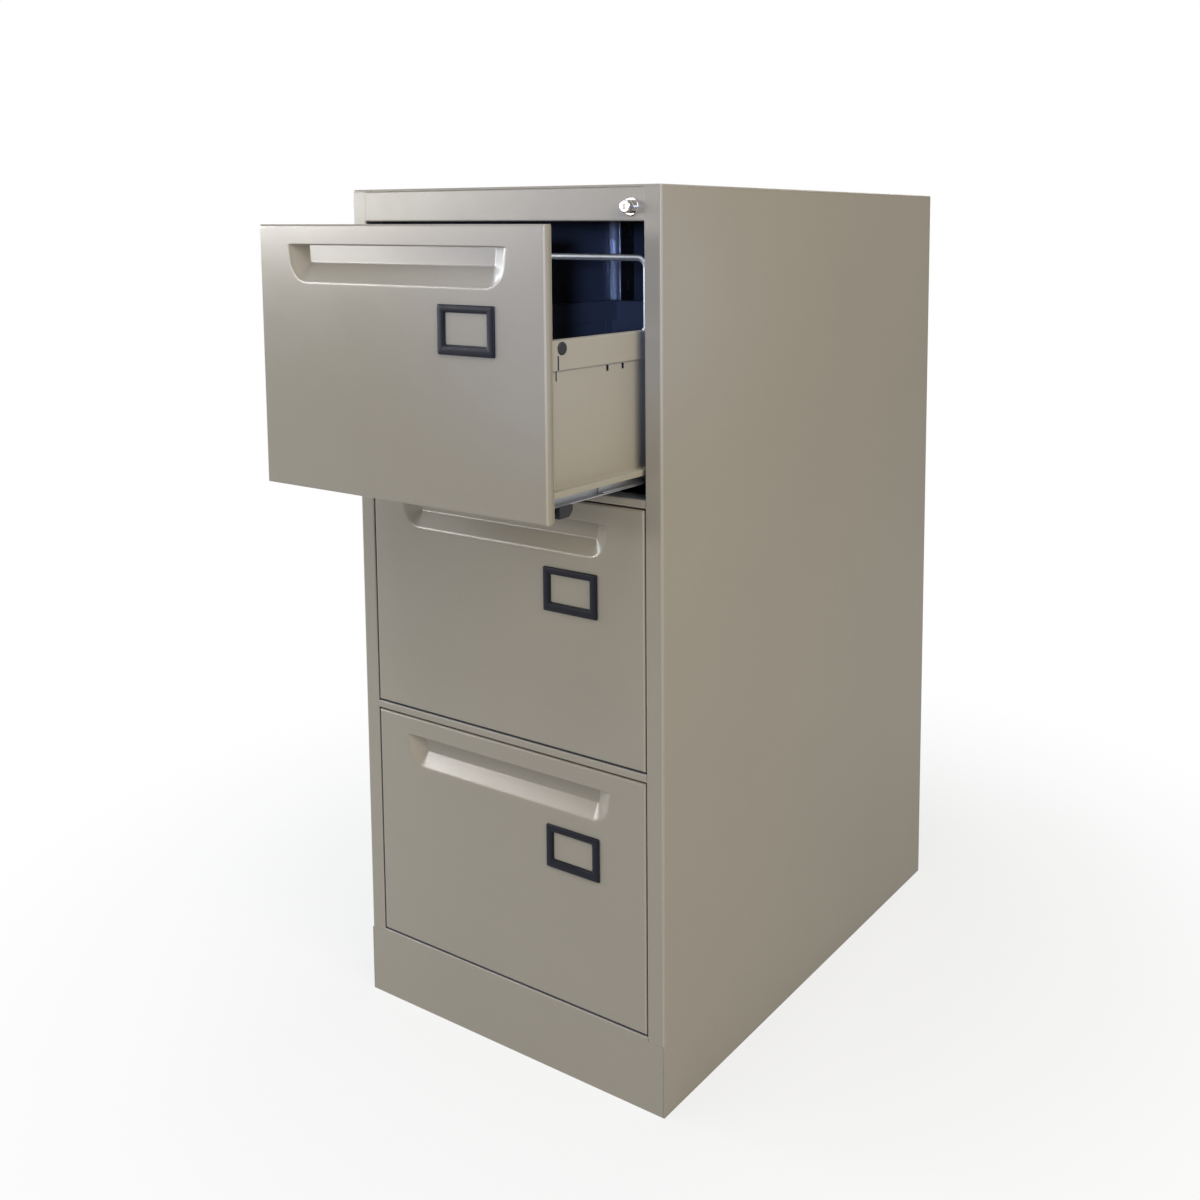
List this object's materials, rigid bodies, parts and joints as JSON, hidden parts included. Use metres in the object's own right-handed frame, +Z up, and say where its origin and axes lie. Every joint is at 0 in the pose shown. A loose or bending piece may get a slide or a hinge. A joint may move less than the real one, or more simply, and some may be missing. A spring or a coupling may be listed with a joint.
{
  "type": "vertical filing cabinet",
  "caption": "Tall narrow steel filing cabinet with stacked drawers on telescoping rails, pressed hand recesses, label frames and a push lock in the header.",
  "frame": {"origin": "on the floor, at the middle of the cabinet's footprint (the open drawer left out)", "axes": "+X across the front towards the side with the lock, +Y from the drawer fronts to the back, +Z up"},
  "size_m": [0.457, 0.8326, 1.02],
  "materials": {
    "shell_paint": "warm grey powder coat, fine satin texture",
    "drawer_front_paint": "warm grey powder coat, satin",
    "drawer_paint": "warm grey powder coat on the drawer bodies",
    "zinc_steel": "bright zinc plate",
    "dark_steel": "dark dipped steel",
    "chrome": "polished chrome",
    "black_plastic": "moulded black, slightly satin",
    "black_rubber": "black rubber"
  },
  "bodies": {
    "cabinet": {"right_side_panel": "shell_paint", "left_side_panel": "shell_paint", "top_panel": "shell_paint", "header_rail": "shell_paint", "upper_cross_rail": "shell_paint", "lower_cross_rail": "shell_paint", "plinth_front": "shell_paint", "base_frame": "dark_steel", "back_panel": "shell_paint", "back_panel_rivets": "zinc_steel", "front_uprights": "zinc_steel", "rear_uprights": "zinc_steel", "top_outer_rails": "zinc_steel", "middle_outer_rails": "zinc_steel", "bottom_outer_rails": "zinc_steel", "lock_barrel": "chrome", "lock_nut": "zinc_steel", "lock_bar_guides": "dark_steel"},
    "bottom_drawer": {"bottom_drawer_front": "drawer_front_paint", "bottom_drawer_front_liner": "drawer_paint", "bottom_drawer_label_holder": "black_plastic", "bottom_drawer_right_side": "drawer_paint", "bottom_drawer_left_side": "drawer_paint", "bottom_drawer_bottom": "drawer_paint", "bottom_drawer_back": "drawer_paint", "bottom_drawer_folder_bar": "zinc_steel", "bottom_drawer_inner_rails": "zinc_steel", "bottom_drawer_rubber_buttons": "black_rubber", "bottom_drawer_lock_catch": "dark_steel"},
    "bottom_intermediate": {"bottom_intermediate_rails": "zinc_steel"},
    "middle_drawer": {"middle_drawer_front": "drawer_front_paint", "middle_drawer_front_liner": "drawer_paint", "middle_drawer_label_holder": "black_plastic", "middle_drawer_right_side": "drawer_paint", "middle_drawer_left_side": "drawer_paint", "middle_drawer_bottom": "drawer_paint", "middle_drawer_back": "drawer_paint", "middle_drawer_folder_bar": "zinc_steel", "middle_drawer_inner_rails": "zinc_steel", "middle_drawer_rubber_buttons": "black_rubber", "middle_drawer_lock_catch": "dark_steel"},
    "middle_intermediate": {"middle_intermediate_rails": "zinc_steel"},
    "top_drawer": {"top_drawer_front": "drawer_front_paint", "top_drawer_front_liner": "drawer_paint", "top_drawer_label_holder": "black_plastic", "top_drawer_right_side": "drawer_paint", "top_drawer_left_side": "drawer_paint", "top_drawer_bottom": "drawer_paint", "top_drawer_back": "drawer_paint", "top_drawer_folder_bar": "zinc_steel", "top_drawer_inner_rails": "zinc_steel", "top_drawer_rubber_buttons": "black_rubber", "top_drawer_lock_catch": "dark_steel"},
    "top_intermediate": {"top_intermediate_rails": "zinc_steel"},
    "lock_bar": {"lock_bar": "dark_steel", "lock_bar_lugs": "dark_steel"},
    "lock_plunger": {"lock_plunger": "chrome"},
    "lock_core": {"lock_core": "chrome"}
  },
  "joints": [
    {"name": "bottom_drawer_slide", "type": "slide", "parent": "cabinet", "child": "bottom_drawer", "axis": [0, -1, 0], "range_m": [0, 0.56]},
    {"name": "bottom_rail_slide", "type": "slide", "parent": "cabinet", "child": "bottom_intermediate", "axis": [0, -1, 0], "range_m": [0, 0.28]},
    {"name": "middle_drawer_slide", "type": "slide", "parent": "cabinet", "child": "middle_drawer", "axis": [0, -1, 0], "range_m": [0, 0.56]},
    {"name": "middle_rail_slide", "type": "slide", "parent": "cabinet", "child": "middle_intermediate", "axis": [0, -1, 0], "range_m": [0, 0.28]},
    {"name": "top_drawer_slide", "type": "slide", "parent": "cabinet", "child": "top_drawer", "axis": [0, -1, 0], "range_m": [-0.156, 0.404]},
    {"name": "top_rail_slide", "type": "slide", "parent": "cabinet", "child": "top_intermediate", "axis": [0, -1, 0], "range_m": [-0.078, 0.202]},
    {"name": "lock_bar_slide", "type": "slide", "parent": "cabinet", "child": "lock_bar", "axis": [0, 0, 1], "range_m": [0, 0.008]},
    {"name": "lock_plunger_slide", "type": "slide", "parent": "cabinet", "child": "lock_plunger", "axis": [0, 1, 0], "range_m": [0, 0.008], "stiffness_N_per_m": 100, "springref_m": -0.006},
    {"name": "lock_core_turn", "type": "hinge", "parent": "lock_plunger", "child": "lock_core", "pos_m": [0.19, -0.34, 0.997], "axis": [0, 1, 0], "range_deg": [0, 90]}
  ],
  "couplings": [
    {"joint": "bottom_rail_slide", "follows": "bottom_drawer_slide", "ratio": 0.5},
    {"joint": "middle_rail_slide", "follows": "middle_drawer_slide", "ratio": 0.5},
    {"joint": "top_rail_slide", "follows": "top_drawer_slide", "ratio": 0.5},
    {"joint": "lock_plunger_slide", "follows": "lock_bar_slide", "ratio": 1}
  ]
}
